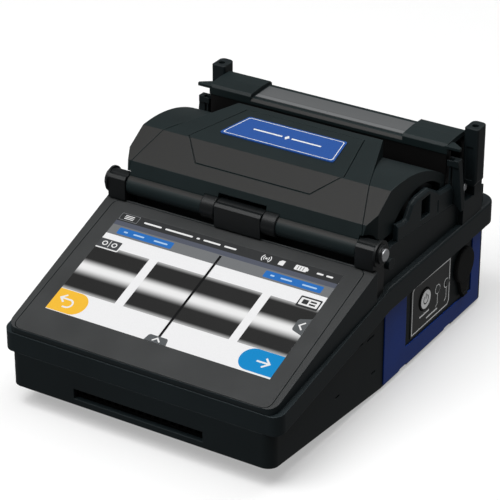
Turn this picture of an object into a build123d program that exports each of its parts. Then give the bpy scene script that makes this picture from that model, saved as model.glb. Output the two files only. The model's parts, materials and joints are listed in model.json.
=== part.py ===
from build123d import *
import math
import os

# Fiber fusion splicer, millimetres.
# +X is the operator's right, +Y points to the back and +Z points up.
# The origin is at the centre of the footprint, on the surface that the feet stand on.
# Positions are given as (x, depth, height): depth is counted from the front face,
# and height from the underside of the case.

# ---- driving dimensions ------------------------------------------------------------------
overall_depth = 192.0
front_y = -overall_depth / 2
foot_drop = 1.5

case_half = 64.8
case_depth = 188.2
case_corner = 5.0
wall = 2.5
kink_depth = 91.0
front_rise = 8.5
seam_front = 24.7
seam_rear = 39.5
rim_half = 68.3
rim_front = 33.75
deck_height = 50.2
rim_slope = (deck_height - rim_front) / kink_depth

lcd_width = 110.7
lcd_height = 62.3
screen_tilt = 18.3
screen_depth = 13.9
screen_height = 41.4
glass_half = 62.8
glass_low = -14.3
glass_high = 68.3
glass_thick = 1.4
lcd_thick = 3.2
gap = 0.3

hinge_depth = 82.9
hinge_height = 70.1
shaft_radius = 2.8
shaft_bore = 2.87
shaft_half = 69.9
bracket_in = 57.6
bracket_out = 66.4
bracket_radius = 5.0
knuckle_half = 11.5
collar_in = 11.8
collar_out = 18.8
collar_radius = 5.5
barrel_radius = 4.6
barrel_out = 57.2

hood_half = 62.2
hood_wall = 2.4
skin_depth = 1.2
inlay_depth = 0.8
crease_low = (83.9, 80.8)
crease_high = (100.0, 90.5)
arch_mid = (125.0, 88.6)
hood_rear = (149.0, 77.5)
raised_rear = (140.2, 91.8)
hood_bottom = 72.1

well_half = 61.8
guard_out = 65.0
guard_in = 62.6
fibre_depth = 124.2
fibre_height = 70.0
stage_top = 48.0
stage_front = 102.0
stage_rear = 146.2

heater_front = 153.0
heater_rear = 171.4
heater_half = 60.6
heater_top = 85.0
lid_top = 90.0
lid_half = 61.0
cap_in = 39.0
lid_pin_depth = 173.8
lid_pin_height = 84.0

lug_in = 61.9
lug_out = 68.9
lug_top = 93.1

battery_half = 37.8
battery_front = 112.0
battery_top = 29.8


# ---- helpers -----------------------------------------------------------------------------
def place(x, depth, height):
    return (x, depth + front_y, height + foot_drop)


def side_points(*points):
    """Points of a side view, (depth, height), for a sketch on Plane.YZ."""
    return [(depth + front_y, height + foot_drop) for depth, height in points]


def plan_points(*points):
    """Points of a plan view, (x, depth), for a sketch on a plane parallel to XY."""
    return [(x, depth + front_y) for x, depth in points]


def block(x_span, depth_span, height_span, mode=Mode.ADD):
    """A box between two values of x, of depth and of height."""
    spans = (x_span, depth_span, height_span)
    middle = [(low + high) / 2 for low, high in spans]
    size = [abs(high - low) for low, high in spans]
    with Locations(place(*middle)):
        Box(*size, mode=mode)


def rod_x(radius, x_span, depth, height, mode=Mode.ADD):
    """A cylinder along X."""
    low, high = x_span
    with Locations(place((low + high) / 2, depth, height)):
        Cylinder(radius, abs(high - low), rotation=(0, 90, 0), mode=mode)


def rod_z(radius, x, depth, height_span, mode=Mode.ADD):
    """A cylinder along Z."""
    low, high = height_span
    with Locations(place(x, depth, (low + high) / 2)):
        Cylinder(radius, abs(high - low), mode=mode)


def side_prism(points, x_span, mode=Mode.ADD):
    """A side-view outline extruded between two values of x."""
    low, high = sorted(x_span)
    with BuildSketch(Plane.YZ.offset(low)) as outline:
        Polygon(*side_points(*points), align=None)
    extrude(outline.sketch, amount=high - low, mode=mode)


def plan_prism(points, height_span, mode=Mode.ADD):
    """A plan-view outline extruded between two heights."""
    low, high = height_span
    with BuildSketch(Plane.XY.offset(low + foot_drop)) as outline:
        Polygon(*plan_points(*points), align=None)
    extrude(outline.sketch, amount=high - low, mode=mode)


def front_prism(points, depth_span, mode=Mode.ADD):
    """A front-view outline, (x, height), extruded between two depths."""
    near, far = depth_span
    with BuildSketch(Plane.XZ.offset(-far - front_y)) as outline:
        Polygon(*[(x, height + foot_drop) for x, height in points], align=None)
    extrude(outline.sketch, amount=far - near, mode=mode)


def save(name, part):
    part.label = name
    export_step(part, f"parts/{name}.step")


def rim_height(depth):
    """Height of the top of the case rim."""
    return deck_height if depth >= kink_depth else rim_front + rim_slope * depth


os.makedirs("parts", exist_ok=True)
sides = (("left", -1), ("right", 1))


# ---- lower case --------------------------------------------------------------------------
floor_line = [(0, front_rise), (kink_depth, 0), (case_depth, 0)]
seam_line = [(case_depth, seam_rear), (kink_depth, seam_rear), (0, seam_front)]
inner_floor = [(wall, front_rise + wall), (kink_depth, wall), (case_depth - wall, wall)]
inner_top = [(case_depth - wall, 60), (wall, 60)]
foot_spots = [(x, depth) for x in (-48, 48) for depth in (24, 176)]
screw_spots = [(x, depth) for x in (-52, 52) for depth in (12, 100, 160)]
power_spot = (129.0, 26.0)
led_spots = [(141.3, 25.1), (150.5, 24.3)]
jack_spot = (165.5, 26.4)
slot_half = 32.0
slot_span = (11.3, 16.2)
dashes = [(63.8, 74.0, 30.6), (77.5, 83.6, 29.8), (50.9, 54.3, 15.4), (81.9, 85.4, 11.2)]
notch_spots = [110.5, 152.5]

with BuildPart() as lower_case:
    side_prism(floor_line + seam_line, (-case_half, case_half))
    fillet(lower_case.edges().filter_by(Axis.Z), case_corner)
    chamfer(lower_case.faces().sort_by(Axis.Z)[-1].edges().filter_by(Axis.Y), 0.5)
    side_prism(inner_floor + inner_top, (-case_half + wall, case_half - wall), Mode.SUBTRACT)
    block((-slot_half, slot_half), (-1, wall + 1), slot_span, Mode.SUBTRACT)
    block((-battery_half - gap, battery_half + gap), (case_depth - 4, case_depth + 1),
          (wall, battery_top + gap), Mode.SUBTRACT)
    for x, depth in screw_spots:
        rod_z(1.7, x, depth, (-1, 14), Mode.SUBTRACT)
        rod_z(3.0, x, depth, (-1, front_rise * max(0, 1 - depth / kink_depth) + 1.4), Mode.SUBTRACT)
    rod_x(5.5, (case_half - 4, case_half + 1), *power_spot, Mode.SUBTRACT)
    rod_x(5.5, (case_half - 4, case_half + 1), *jack_spot, Mode.SUBTRACT)
    for depth, height in led_spots:
        rod_x(1.9, (case_half - 4, case_half + 1), depth, height, Mode.SUBTRACT)
    for side, sign in sides:
        for start, end, height in dashes:
            block((sign * (case_half - 0.6), sign * (case_half + 1)), (start, end),
                  (height, height + 0.9), Mode.SUBTRACT)
        for depth in notch_spots:
            block((sign * (case_half - 1.8), sign * (case_half + 1)), (depth - 3.5, depth + 3.5),
                  (-1, 1.3), Mode.SUBTRACT)
save("lower_case", lower_case.part)

# Slotted insert that closes the air inlet at the front
with BuildPart() as front_vent:
    block((-slot_half - 2, slot_half + 2), (wall, wall + 1.6), (slot_span[0] - 0.2, slot_span[1] + 2))
    for step in range(-7, 8):
        block((step * 4 - 1.2, step * 4 + 1.2), (wall - 1, wall + 3), (12.6, 15.0), Mode.SUBTRACT)
save("front_vent", front_vent.part)

# ---- upper case: rim band and deck -------------------------------------------------------
rim_outline = [(0, seam_front), (0, rim_front), (kink_depth, deck_height),
               (overall_depth, deck_height), (overall_depth, seam_rear), (kink_depth, seam_rear)]
rim_inside = [(wall, seam_front - 2), (wall, rim_front - wall), (kink_depth, deck_height - wall),
              (case_depth - wall, deck_height - wall), (case_depth - wall, seam_rear - 2),
              (kink_depth, seam_rear - 2)]
well_front = 92.0
well_rear = 149.6

with BuildPart() as upper_case:
    side_prism(rim_outline, (-rim_half, rim_half))
    fillet(upper_case.edges().filter_by(Axis.Z).group_by(Axis.Y)[0], case_corner)
    fillet(upper_case.edges().filter_by(Axis.Z).group_by(Axis.Y)[-1], 8.0)
    fillet(upper_case.faces().sort_by(Axis.Z)[-1].edges().group_by(Axis.Y)[-1], 1.2)
    side_prism(rim_inside, (-case_half + wall, case_half - wall), Mode.SUBTRACT)
    block((-58, 58), (well_front, well_rear), (40, 60), Mode.SUBTRACT)
    block((-18, 18), (50, 62), (30, 60), Mode.SUBTRACT)
save("upper_case", upper_case.part)

# ---- painted side panels -----------------------------------------------------------------
panel_outline = [(92.4, 0.8), (92.4, 36.2), (111.6, 38.4), (111.6, 10.2), (174.2, 9.2),
                 (174.2, 37.2), (182.2, 39.0), (182.2, 0.8)]
panel_thick = 0.5
for side, sign in sides:
    with BuildPart() as side_panel:
        side_prism(panel_outline, (sign * case_half, sign * (case_half + panel_thick)))
        for depth in notch_spots:
            block((sign * 60, sign * 70), (depth - 3.5, depth + 3.5), (-1, 1.3), Mode.SUBTRACT)
    save(f"side_panel_{side}", side_panel.part)

# ---- feet and case screws ----------------------------------------------------------------
with BuildPart() as rubber_feet:
    for x, depth in foot_spots:
        rod_z(5.5, x, depth, (-foot_drop, 12))
    side_prism(floor_line + [(case_depth, 30), (0, 30)], (-70, 70), Mode.SUBTRACT)
save("rubber_feet", rubber_feet.part)

with BuildPart() as case_screws:
    for x, depth in screw_spots:
        seat = front_rise * max(0, 1 - depth / kink_depth) + 1.4
        rod_z(2.6, x, depth, (seat - 1.2, seat))
        rod_z(1.4, x, depth, (seat - 0.5, seat + 8))
        with Locations(place(x, depth, seat - 1.0)):
            Box(2.6, 0.6, 0.6, mode=Mode.SUBTRACT)
            Box(0.6, 2.6, 0.6, mode=Mode.SUBTRACT)
save("case_screws", case_screws.part)

# ---- electronics -------------------------------------------------------------------------
board_span = (17.0, 18.6)


def board_post_foot(depth):
    """Height of the inside of the sloping floor, just clear of it."""
    return wall + front_rise * (1 - (depth - 3) / kink_depth) + 0.2


with BuildPart() as main_board:
    block((-56, 56), (18, 96), board_span)
    for x in (-40, -14, 12):
        block((x, x + 16), (20, 34), (board_span[1], board_span[1] + 2.2))
    block((-50, -20), (56, 66), (board_span[1], board_span[1] + 5.5))
    for x in (-49, 49):
        for depth in (24, 88):
            rod_z(1.6, x, depth, (board_span[0] - 1, board_span[1] + 1), Mode.SUBTRACT)
            rod_z(2.6, x, depth, (board_post_foot(depth), board_span[0]))
save("main_board", main_board.part)

with BuildPart() as hv_module:
    block((4, 44), (58, 88), (board_span[1], 31.0))
    fillet(hv_module.edges().filter_by(Axis.Z), 2.0)
    for x in (12, 36):
        rod_z(3.0, x, 73, (31.0, 33.0))
save("hv_module", hv_module.part)

with BuildPart() as battery_bay:
    block((-battery_half - 2.3, battery_half + 2.3), (battery_front - 2.3, case_depth - wall),
          (wall, battery_top + 2.3))
    block((-battery_half - gap, battery_half + gap), (battery_front - gap, case_depth),
          (wall - 1, battery_top + gap), Mode.SUBTRACT)
save("battery_bay", battery_bay.part)

with BuildPart() as battery_pack:
    block((-battery_half, battery_half), (battery_front, case_depth - 0.2), (wall + gap, battery_top))
    fillet(battery_pack.edges().filter_by(Axis.Y), 2.0)
    block((-14, 14), (case_depth - 3.2, case_depth + 1), (17, 27), Mode.SUBTRACT)
    block((-30, 30), (case_depth - 1.0, case_depth + 1), (6, 7), Mode.SUBTRACT)
    block((-30, 30), (case_depth - 1.0, case_depth + 1), (9, 10), Mode.SUBTRACT)
save("battery_pack", battery_pack.part)

with BuildPart() as battery_latch:
    block((-13.6, 13.6), (case_depth - 3.0, case_depth - 0.6), (17.4, 23.0))
    for step in range(-4, 5):
        block((step * 2.6 - 0.5, step * 2.6 + 0.5), (case_depth - 0.6, case_depth), (18.0, 22.4))
save("battery_latch", battery_latch.part)

# ---- controls on the right side ----------------------------------------------------------
label_corners = [(116.4, 11.6), (116.4, 34.9), (118.6, 37.0), (153.6, 36.4), (153.6, 13.9), (151.4, 11.6)]
with BuildPart() as control_label:
    side_prism(label_corners, (case_half, case_half + 0.3))
    rod_x(5.6, (60, 70), *power_spot, Mode.SUBTRACT)
    for depth, height in led_spots:
        rod_x(1.95, (60, 70), depth, height, Mode.SUBTRACT)
save("control_label", control_label.part)

with BuildPart() as power_button:
    rod_x(5.1, (case_half - 1.6, case_half + 0.9), *power_spot)
    fillet(power_button.edges().filter_by(GeomType.CIRCLE).sort_by(Axis.X)[-1], 0.5)
    rod_x(2.2, (58.6, case_half - 1.6), *power_spot)
save("power_button", power_button.part)

with BuildPart() as switch_board:
    block((52.4, 54.0), (120, 156), (14, 34))
    block((54.0, 57.4), (power_spot[0] - 3.5, power_spot[0] + 3.5),
          (power_spot[1] - 3.5, power_spot[1] + 3.5))
    block((54.0, case_half - wall), (121, 124), (15, 18))
    block((54.0, case_half - wall), (152.5, 155.5), (15, 18))
save("switch_board", switch_board.part)

with BuildPart() as led_lenses:
    for depth, height in led_spots:
        rod_x(1.85, (54.0, case_half + 0.5), depth, height)
save("led_lenses", led_lenses.part)

# Round rubber cover whose tail bends about a roll at its lower end
cover_radius = 8.5
tail_height = 11.6
cover_tail = [(jack_spot[0] - 5.6, jack_spot[1] - 5.0), (jack_spot[0] - 1.8, tail_height),
              (jack_spot[0] + 1.8, tail_height), (jack_spot[0] + 5.6, jack_spot[1] - 5.0)]
with BuildPart() as jack_cover:
    rod_x(cover_radius, (case_half + 0.2, case_half + 2.0), *jack_spot)
    fillet(jack_cover.edges().filter_by(GeomType.CIRCLE).sort_by(Axis.X)[-1], 0.8)
    rod_x(4.0, (case_half - 1.4, case_half + 0.2), *jack_spot)
    side_prism(cover_tail, (case_half + 0.2, case_half + 1.6))
    with Locations(place(case_half + 1.3, jack_spot[0], tail_height)):
        Cylinder(1.1, 3.6, rotation=(90, 0, 0))
save("jack_cover", jack_cover.part)

with BuildPart() as dc_jack:
    rod_x(6.4, (50, case_half - wall), *jack_spot)
    rod_x(2.8, (52.5, case_half), *jack_spot, Mode.SUBTRACT)
    rod_x(1.0, (52.0, case_half - wall - 1), *jack_spot)
save("dc_jack", dc_jack.part)

# ---- monitor -----------------------------------------------------------------------------
tilt = math.radians(screen_tilt)
screen = Plane(origin=place(0, screen_depth, screen_height), x_dir=(1, 0, 0),
               z_dir=(0, -math.sin(tilt), math.cos(tilt)))


def screen_side(reach, sink=0.0):
    """Side-view point at a distance up the screen and a depth below its surface."""
    return (screen_depth + reach * math.cos(tilt) + sink * math.sin(tilt),
            screen_height + reach * math.sin(tilt) - sink * math.cos(tilt))


glass_middle = (glass_low + glass_high) / 2
glass_length = glass_high - glass_low
monitor_rear = screen_side(glass_high + 1.1)
monitor_front = screen_side(glass_low - 0.6)
monitor_side = [(0.3, rim_height(0.3)), monitor_front, monitor_rear,
                (monitor_rear[0], rim_height(monitor_rear[0]))]
with BuildPart() as monitor_housing:
    side_prism(monitor_side, (-rim_half, rim_half))
    with BuildSketch(Plane.XY.offset(20)) as monitor_plan:
        with BuildLine():
            Polyline(*plan_points((-65.6, 0), (65.6, 0), (67.9, 85), (-67.9, 85)), close=True)
        make_face()
        fillet(monitor_plan.vertices().group_by(Axis.Y)[0], 5.0)
    extrude(amount=60, mode=Mode.INTERSECT)
    with BuildSketch(screen) as glass_pocket:
        with Locations((0, glass_middle)):
            RectangleRounded(2 * glass_half + 0.6, glass_length + 0.6, 4.0)
    extrude(amount=-glass_thick, mode=Mode.SUBTRACT)
    with BuildSketch(screen) as lcd_pocket:
        with Locations((0, lcd_height / 2)):
            Rectangle(lcd_width + 2, lcd_height + 2)
    extrude(amount=-(lcd_thick + 0.2), mode=Mode.SUBTRACT)
    for x in (-44, 44):
        block((x - 9, x + 9), (monitor_rear[0] - 1.2, monitor_rear[0] + 1), (59.6, 61.0), Mode.SUBTRACT)
save("monitor_housing", monitor_housing.part)

with BuildPart() as touch_glass:
    with BuildSketch(screen) as glass_outline:
        with Locations((0, glass_middle)):
            RectangleRounded(2 * glass_half, glass_length, 3.7)
        with Locations((0, lcd_height / 2)):
            Rectangle(lcd_width, lcd_height, mode=Mode.SUBTRACT)
    extrude(amount=-glass_thick)
save("touch_glass", touch_glass.part)

with BuildPart() as lcd_panel:
    with BuildSketch(screen) as lcd_outline:
        with Locations((0, lcd_height / 2)):
            Rectangle(lcd_width, lcd_height)
    extrude(amount=-lcd_thick)
save("lcd_panel", lcd_panel.part)

# ---- hood hinge --------------------------------------------------------------------------
leg_front = monitor_rear[0] + 0.2
leg_rear = 87.6


def hinge_leg():
    """Side view of a post that carries the hood shaft above the deck, squared off above the monitor."""
    face = hinge_depth - bracket_radius
    return [(leg_front, rim_height(leg_front)), (leg_front, 63.6), (face, 63.6), (face, hinge_height + 3.2),
            (face + 1.2, hinge_height + 4.4), (hinge_depth + 2.3, hinge_height + 4.4), (leg_rear, 68.0),
            (leg_rear, rim_height(leg_rear))]


for side, sign in sides:
    with BuildPart() as hinge_bracket:
        rod_x(bracket_radius, (sign * bracket_in, sign * bracket_out), hinge_depth, hinge_height)
        side_prism(hinge_leg(), (sign * bracket_in, sign * bracket_out))
        rod_x(5.9, (sign * bracket_out, sign * (bracket_out + 1.1)), hinge_depth, hinge_height)
        rod_x(4.3, (sign * bracket_out, sign * (bracket_out + 2.4)), hinge_depth, hinge_height)
        rod_x(shaft_bore, (sign * 50, sign * 72), hinge_depth, hinge_height, Mode.SUBTRACT)
    save(f"hinge_bracket_{side}", hinge_bracket.part)

with BuildPart() as hinge_knuckle:
    rod_x(bracket_radius, (-knuckle_half, knuckle_half), hinge_depth, hinge_height)
    side_prism(hinge_leg(), (-knuckle_half, knuckle_half))
    rod_x(shaft_bore, (-20, 20), hinge_depth, hinge_height, Mode.SUBTRACT)
save("hinge_knuckle", hinge_knuckle.part)

with BuildPart() as hinge_shaft:
    rod_x(shaft_radius, (-shaft_half, shaft_half), hinge_depth, hinge_height)
    chamfer(hinge_shaft.edges().filter_by(GeomType.CIRCLE), 0.4)
save("hinge_shaft", hinge_shaft.part)

with BuildPart() as hinge_collars:
    for side, sign in sides:
        rod_x(collar_radius, (sign * collar_in, sign * collar_out), hinge_depth, hinge_height)
    chamfer(hinge_collars.edges().filter_by(GeomType.CIRCLE), 0.4)
    rod_x(shaft_radius, (-30, 30), hinge_depth, hinge_height, Mode.SUBTRACT)
save("hinge_collars", hinge_collars.part)


# ---- hood --------------------------------------------------------------------------------
def hood_section(depth):
    """Side view of the arched hood, set in by a depth below its outer surface."""
    lean = (crease_low[0] - 80.9) / (crease_low[1] - hood_bottom)
    skirt = 40.0
    toe = (crease_low[0] - lean * (crease_low[1] - skirt), skirt)
    heel = (hood_rear[0], skirt)
    with BuildSketch(Plane.YZ) as section:
        with BuildLine():
            Polyline(*side_points(toe, crease_low, crease_high))
            ThreePointArc(*side_points(crease_high, arch_mid, hood_rear))
            Polyline(*side_points(hood_rear, heel, toe))
        make_face()
        if depth > 0:
            offset(amount=-depth, kind=Kind.INTERSECTION)
    return section.sketch


def cover_plan(margin):
    """Plan of the tapered top cover, grown by a margin."""
    front_half, rear_half = 59.2, 36.3
    return [(-front_half - margin, 79.8), (front_half + margin, 79.8),
            (rear_half + margin, raised_rear[0] + margin), (-rear_half - margin, raised_rear[0] + margin)]


def inlay_plan(margin):
    """Plan of the inlay on the top cover, grown by a margin."""
    return [(-28.5 - margin / 2, 90.3 - margin), (28.5 + margin / 2, 90.3 - margin),
            (38.7 + margin, 101.2), (29.6 + margin, 134.9 + margin),
            (-29.6 - margin, 134.9 + margin), (-38.7 - margin, 101.2)]


raised_side = [(80.9, hood_bottom), crease_low, crease_high, raised_rear, (raised_rear[0], 60), (80.9, 60)]
raised_inset = [(80.9 + 1, 50), (83.9 + 0.95, 80.8 - 0.3), (100 + 0.2, 90.5 - inlay_depth),
                (raised_rear[0] + 5, raised_rear[1] - inlay_depth + 0.1), (raised_rear[0] + 5, 50)]
outer_section = hood_section(0)
skin_section = hood_section(skin_depth)
inner_section = hood_section(hood_wall)

# Everything that lies under the tapered cover, above the bottom of its seat
with BuildPart() as cover_seat:
    plan_prism(cover_plan(0.25), (60, 100))
    extrude(skin_section, amount=80, both=True, mode=Mode.SUBTRACT)

# The shallow pocket in the cover that takes the inlay
with BuildPart() as inlay_seat:
    plan_prism(inlay_plan(0.45), (60, 100))
    side_prism(raised_inset, (-70, 70), Mode.SUBTRACT)

hood_floor = [(60, hood_bottom), (84.2, hood_bottom), (91, 70.6), (146.4, 69.0), (146.4, 64.0),
              (155, 64.0), (155, 30), (60, 30)]
arch_cut = [(103.0, 73.5), (119.0, 81.4), (145.0, 74.7)]

with BuildPart() as hood_shell:
    extrude(outer_section, amount=hood_half, both=True)
    for side, sign in sides:
        plan_prism([(sign * 57.2, 79), (sign * 62.8, 90.5), (sign * 67, 90.5), (sign * 67, 66),
                    (sign * 57.2, 66)], (20, 110), Mode.SUBTRACT)
    extrude(inner_section, amount=hood_half - hood_wall, both=True, mode=Mode.SUBTRACT)
    side_prism(hood_floor, (-70, 70), Mode.SUBTRACT)
    add(cover_seat.part, mode=Mode.SUBTRACT)
    with BuildSketch(Plane.YZ) as side_arch:
        with BuildLine():
            ThreePointArc(*side_points(*arch_cut))
            Polyline(*side_points((145.0, 74.7), (145.0, 55), (103.0, 55), (103.0, 73.5)))
        make_face()
    extrude(amount=80, both=True, mode=Mode.SUBTRACT)
    for side, sign in sides:
        rod_x(barrel_radius, (sign * collar_out, sign * barrel_out), hinge_depth, hinge_height)
        rod_x(bracket_radius + 0.7, (sign * barrel_out, sign * 80), hinge_depth, hinge_height, Mode.SUBTRACT)
        rod_x(6.3, (sign * barrel_out, sign * 80), hinge_depth, hinge_height, Mode.SUBTRACT)
        block((sign * barrel_out, sign * 80), (70, 90), (60, 72.6), Mode.SUBTRACT)
    rod_x(collar_radius + 0.1, (-collar_out, collar_out), hinge_depth, hinge_height, Mode.SUBTRACT)
    block((-12.1, 12.1), (70, 92), (60, 77.5), Mode.SUBTRACT)
    rod_x(shaft_radius, (-80, 80), hinge_depth, hinge_height, Mode.SUBTRACT)
save("hood_shell", hood_shell.part)

with BuildPart() as hood_cover:
    plan_prism(cover_plan(0), (60, 100))
    side_prism(raised_side, (-70, 70), Mode.INTERSECT)
    extrude(skin_section, amount=80, both=True, mode=Mode.SUBTRACT)
    fillet(hood_cover.edges().group_by(Axis.Z)[-1].sort_by(Axis.Y)[-1], 1.5)
    add(inlay_seat.part, mode=Mode.SUBTRACT)
    rod_x(6.3, (-80, -barrel_out), hinge_depth, hinge_height, Mode.SUBTRACT)
    rod_x(6.3, (barrel_out, 80), hinge_depth, hinge_height, Mode.SUBTRACT)
    rod_x(collar_radius + 0.1, (-collar_out, collar_out), hinge_depth, hinge_height, Mode.SUBTRACT)
    rod_x(barrel_radius, (-barrel_out, barrel_out), hinge_depth, hinge_height, Mode.SUBTRACT)
    block((-12.1, 12.1), (70, 92), (60, 77.5), Mode.SUBTRACT)
save("hood_cover", hood_cover.part)

with BuildPart() as hood_inlay:
    plan_prism(inlay_plan(0), (60, 100))
    side_prism(raised_side, (-70, 70), Mode.INTERSECT)
    side_prism(raised_inset, (-70, 70), Mode.SUBTRACT)
save("hood_inlay", hood_inlay.part)

raised_slope = (raised_rear[1] - crease_high[1]) / (raised_rear[0] - crease_high[0])


def raised_height(depth):
    """Height of the flat top of the cover."""
    return crease_high[1] + raised_slope * (depth - crease_high[0])


plate_span = (109.8, 129.0)
plate_thick = 0.5
plate_side = [(plate_span[0], raised_height(plate_span[0])), (plate_span[1], raised_height(plate_span[1])),
              (plate_span[1], raised_height(plate_span[1]) + plate_thick),
              (plate_span[0], raised_height(plate_span[0]) + plate_thick)]
with BuildPart() as name_plate:
    plan_prism([(-28.8, plate_span[0]), (28.8, plate_span[0]), (24.8, plate_span[1]), (-24.8, plate_span[1])],
               (60, 100))
    side_prism(plate_side, (-40, 40), Mode.INTERSECT)
    fillet(name_plate.edges().filter_by(lambda edge: abs(edge.tangent_at(0.5).Z) > 0.9), 1.2)
save("name_plate", name_plate.part)

# Lamp bar and the two pressers that hold the bare fibre down, all hung from the hood's roof
with BuildPart() as hood_lamp:
    block((-16, 16), (100.5, 106.5), (83.6, 95))
    extrude(inner_section, amount=80, both=True, mode=Mode.INTERSECT)
save("hood_lamp", hood_lamp.part)

presser_span = (8.0, 12.0)
with BuildPart() as fibre_pressers:
    for side, sign in sides:
        block((sign * presser_span[0], sign * presser_span[1]),
              (fibre_depth - 3.5, fibre_depth + 3.5), (76, 95))
        block((sign * (presser_span[0] + 0.8), sign * (presser_span[1] - 0.8)),
              (fibre_depth - 1.8, fibre_depth + 1.8), (fibre_height + 0.8, 76))
    extrude(inner_section, amount=80, both=True, mode=Mode.INTERSECT)
save("fibre_pressers", fibre_pressers.part)

# ---- deck housing around the splicing well -----------------------------------------------
housing_front = 89.2
housing_rear = 152.7
wall_rear = 183.0
wall_high = 66.6
wall_low = 59.2
wall_crest = 103.8
housing_side = [(housing_front, rim_height(housing_front)), (housing_front, 57.0), (93.5, 65.6),
                (97.0, 66.9), (wall_crest, wall_high), (wall_rear, wall_low), (wall_rear, deck_height),
                (kink_depth, deck_height)]
damper_spot = (92.9, 60.7)
fibre_window = ((122.6, 130.6), (67.4, 77.0))

# The walls are thicker behind the heater's posts, where the strap lugs stand on them
shoulder_span = (158.0, 176.4)
shoulder_out = 67.6

# Lips inside the well that close the hood's side arches
lip_in = 57.6
lip_out = 59.2
lip_span = (104.4, 143.6)
lip_arc = [(lip_span[0], 72.2), (119.0, 80.4), (lip_span[1], 73.6)]


def wall_height(depth):
    """Height of the sloping top of the deck housing's side walls."""
    return wall_high - (depth - wall_crest) * (wall_high - wall_low) / (wall_rear - wall_crest)


def above_wall(start, end):
    """Side-view outline of the space under the walls' top, used to trim what stands on it."""
    return [(start, 40), (start, wall_height(start)), (end, wall_height(end)), (end, 40)]


with BuildPart() as deck_housing:
    side_prism(housing_side, (-guard_out, guard_out))
    block((-well_half, well_half), (well_front, 148.6), (40, 80), Mode.SUBTRACT)
    block((-well_half, well_half), (housing_rear, 190), (40, 80), Mode.SUBTRACT)
    block((-well_half, well_half), (148, 153), (61.4, 80), Mode.SUBTRACT)
    block((-well_half, well_half), (80, 93), (62.0, 80), Mode.SUBTRACT)
    for side, sign in sides:
        side_prism([(shoulder_span[0], deck_height), (shoulder_span[0], wall_height(shoulder_span[0])),
                    (shoulder_span[1], wall_height(shoulder_span[1])), (shoulder_span[1], deck_height)],
                   (sign * well_half, sign * shoulder_out))
        rod_x(2.6, (sign * guard_out, sign * (guard_out + 2.2)), *damper_spot)
        block((sign * lip_in, sign * well_half), lip_span, (60.0, 62.0))
        with BuildSketch(Plane.YZ.offset(sign * (lip_in + lip_out) / 2)) as lip:
            with BuildLine():
                ThreePointArc(*side_points(*lip_arc))
                Polyline(*side_points(lip_arc[-1], (lip_span[1], 60.0), (lip_span[0], 60.0), lip_arc[0]))
            make_face()
        extrude(amount=(lip_out - lip_in) / 2, both=True)
        block((sign * 50, sign * 60), *fibre_window, Mode.SUBTRACT)
save("deck_housing", deck_housing.part)

guard_outline = [(101.8, 60.0), (101.8, 74.4), (107.9, 73.2), (110.4, 73.4), (114.6, 78.6), (119.0, 80.0),
                 (129.4, 80.0), (136.8, 75.6), (140.2, 73.2), (151.6, 72.0), (152.4, 71.0), (152.4, 60.0)]
guard_base = [(97.0, 40), (97.0, 66.9), (wall_crest, wall_high), (wall_rear, wall_low), (wall_rear, 40)]
for side, sign in sides:
    with BuildPart() as side_guard:
        side_prism(guard_outline, (sign * guard_in, sign * guard_out))
        outer_face = side_guard.faces().sort_by(Axis.X)[-1 if sign > 0 else 0]
        chamfer(outer_face.edges().filter_by(lambda edge: edge.center().Z > 69 + foot_drop), 1.1)
        side_prism(guard_base, (-80, 80), Mode.SUBTRACT)
        block((sign * 60, sign * 70), *fibre_window, Mode.SUBTRACT)
        block((sign * (guard_out - 0.8), sign * 70), (137.9, 138.7), (64.5, 70.4), Mode.SUBTRACT)
    save(f"side_guard_{side}", side_guard.part)

# ---- splicing stage ----------------------------------------------------------------------
chassis_span = (37.0, 40.0)
with BuildPart() as stage_chassis:
    block((-62.1, 62.1), (94, 147.5), chassis_span)
    for x in (-60.1, 60.1):
        for depth in (98, 144):
            rod_z(1.9, x, depth, (chassis_span[0], deck_height - wall))
    block((-50, 50), (99, 143), (30, chassis_span[1] - 1.0), Mode.SUBTRACT)
save("stage_chassis", stage_chassis.part)

with BuildPart() as stage_base:
    block((-50, 50), (stage_front, stage_rear), (chassis_span[1], stage_top))
    chamfer(stage_base.faces().sort_by(Axis.Z)[-1].edges(), 1.0)
    for side, sign in sides:
        block((sign * 17, sign * 48.5), (fibre_depth - 1.5, fibre_depth + 1.5),
              (stage_top - 2, stage_top + 1), Mode.SUBTRACT)
save("stage_base", stage_base.part)

with BuildPart() as v_groove_blocks:
    for side, sign in sides:
        block((sign * 6, sign * 14), (fibre_depth - 6, fibre_depth + 6), (stage_top, fibre_height + 0.3))
        side_prism([(fibre_depth - 1, fibre_height + 0.4), (fibre_depth, fibre_height - 0.6),
                    (fibre_depth + 1, fibre_height + 0.4)], (sign * 5, sign * 15), Mode.SUBTRACT)
save("v_groove_blocks", v_groove_blocks.part)

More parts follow.
